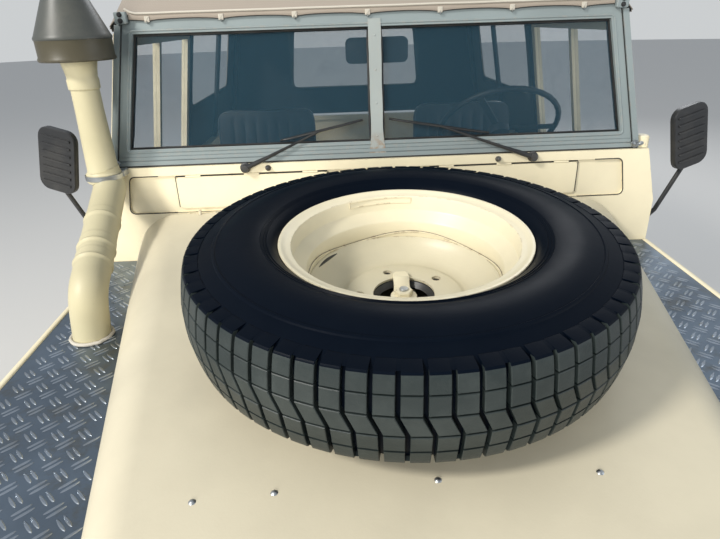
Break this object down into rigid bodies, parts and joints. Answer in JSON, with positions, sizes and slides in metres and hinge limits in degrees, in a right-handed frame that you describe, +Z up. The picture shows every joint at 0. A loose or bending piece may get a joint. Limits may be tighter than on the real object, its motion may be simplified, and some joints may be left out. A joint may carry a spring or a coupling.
{
  "type": "army 4x4 car",
  "caption": "Unarmed light army 4x4 car with a box-shaped body, canvas hood, leaf springs, spare wheel on the bonnet and a raised air intake.",
  "frame": {"origin": "on the ground under the middle of the car's length and width", "axes": "+Z up, -Y towards the front of the car, +X towards its left-hand side"},
  "size_m": [1.9682, 3.63, 1.968],
  "materials": {
    "body_paint": "semi-gloss sand paint",
    "intake_paint": "semi-gloss sand paint, worn",
    "cap_paint": "dull olive and grey paint",
    "screen_paint": "pale grey paint",
    "cab_grey": "grey-blue paint",
    "wheel_paint": "semi-gloss sand paint",
    "chequer_plate": "raised-pattern plate",
    "galvanised": "zinc-coated",
    "chassis_black": "black underbody paint",
    "cast_black": "black painted casting",
    "cast_grey": "bare casting",
    "exhaust_steel": "heat-stained steel",
    "tyre": "black rubber",
    "lamp": "clear and amber lens",
    "seat_vinyl": "black vinyl",
    "black_plastic": "satin black",
    "glass": "clear",
    "clear_sheet": "clear flexible sheet",
    "canvas": "waterproofed canvas"
  },
  "bodies": {
    "body": {"axles": "cast_black", "chassis_frame": "chassis_black", "leaf_springs": "chassis_black", "engine_gearbox": "cast_grey", "exhaust": "exhaust_steel", "fuel_tank": "chassis_black", "wings": "body_paint", "wing_plates": "chequer_plate", "front_panel": "body_paint", "grille": "galvanised", "lamps": "lamp", "front_bumper": "galvanised", "bulkhead": "body_paint", "dashboard": "cab_grey", "floor_seatbox": "body_paint", "seats": "seat_vinyl", "windscreen_frame": "screen_paint", "windscreen_glass": "glass", "wipers": "black_plastic", "mirrors": "black_plastic", "rear_tub": "body_paint", "tow_hitch": "chassis_black", "canvas_hood": "canvas", "hood_windows": "clear_sheet", "hood_frame": "galvanised", "snorkel_pipe": "intake_paint", "snorkel_cap": "cap_paint"},
    "bonnet": {"bonnet": "body_paint", "spare_tyre": "tyre", "spare_wheel": "wheel_paint", "spare_carrier": "body_paint"},
    "door_left": {"door_left": "body_paint", "door_glass_left": "glass"},
    "door_right": {"door_right": "body_paint", "door_glass_right": "glass"},
    "tailgate": {"tailgate": "body_paint"},
    "steering_wheel": {"steering_wheel": "black_plastic"},
    "knuckle_left": {"knuckle_left": "cast_black"},
    "knuckle_right": {"knuckle_right": "cast_black"},
    "track_rod": {"track_rod": "chassis_black"},
    "wheel_front_left": {"wheel_front_left": "wheel_paint", "tyre_front_left": "tyre"},
    "wheel_front_right": {"wheel_front_right": "wheel_paint", "tyre_front_right": "tyre"},
    "wheel_rear_left": {"wheel_rear_left": "wheel_paint", "tyre_rear_left": "tyre"},
    "wheel_rear_right": {"wheel_rear_right": "wheel_paint", "tyre_rear_right": "tyre"}
  },
  "joints": [
    {"name": "bonnet_hinge", "type": "hinge", "parent": "body", "child": "bonnet", "pos_m": [0, -0.512, 1.222], "axis": [-1, 0, 0], "range_deg": [0, 40]},
    {"name": "door_left_hinge", "type": "hinge", "parent": "body", "child": "door_left", "pos_m": [0.848, -0.43, 0.885], "axis": [0, 0, -1], "range_deg": [0, 80]},
    {"name": "door_right_hinge", "type": "hinge", "parent": "body", "child": "door_right", "pos_m": [-0.848, -0.43, 0.885], "axis": [0, 0, 1], "range_deg": [0, 80]},
    {"name": "tailgate_hinge", "type": "hinge", "parent": "body", "child": "tailgate", "pos_m": [0, 1.75, 0.686], "axis": [-1, 0, 0], "range_deg": [0, 90]},
    {"name": "steer_left", "type": "hinge", "parent": "body", "child": "knuckle_left", "pos_m": [0.55, -1.137, 0.391], "axis": [0, 0, 1], "range_deg": [-24, 24]},
    {"name": "steer_right", "type": "hinge", "parent": "body", "child": "knuckle_right", "pos_m": [-0.55, -1.137, 0.391], "axis": [0, 0, 1], "range_deg": [-24, 24]},
    {"name": "track_rod_pivot", "type": "hinge", "parent": "knuckle_left", "child": "track_rod", "pos_m": [0.55, -1.287, 0.396], "axis": [0, 0, 1], "range_deg": [-24, 24]},
    {"name": "steering_wheel_turn", "type": "hinge", "parent": "body", "child": "steering_wheel", "pos_m": [0.455, -0.105, 1.378], "axis": [0, 0.7071, 0.7071], "range_deg": [-360, 360]},
    {"name": "wheel_front_left_spin", "type": "hinge", "parent": "knuckle_left", "child": "wheel_front_left", "pos_m": [0.654, -1.137, 0.391], "axis": [1, 0, 0], "continuous": true},
    {"name": "wheel_front_right_spin", "type": "hinge", "parent": "knuckle_right", "child": "wheel_front_right", "pos_m": [-0.654, -1.137, 0.391], "axis": [1, 0, 0], "continuous": true},
    {"name": "wheel_rear_left_spin", "type": "hinge", "parent": "body", "child": "wheel_rear_left", "pos_m": [0.654, 1.098, 0.391], "axis": [1, 0, 0], "continuous": true},
    {"name": "wheel_rear_right_spin", "type": "hinge", "parent": "body", "child": "wheel_rear_right", "pos_m": [-0.654, 1.098, 0.391], "axis": [1, 0, 0], "continuous": true}
  ],
  "couplings": [
    {"joint": "steer_right", "follows": "steer_left", "ratio": 1},
    {"joint": "track_rod_pivot", "follows": "steer_left", "ratio": -1},
    {"joint": "steering_wheel_turn", "follows": "steer_left", "ratio": 15}
  ]
}
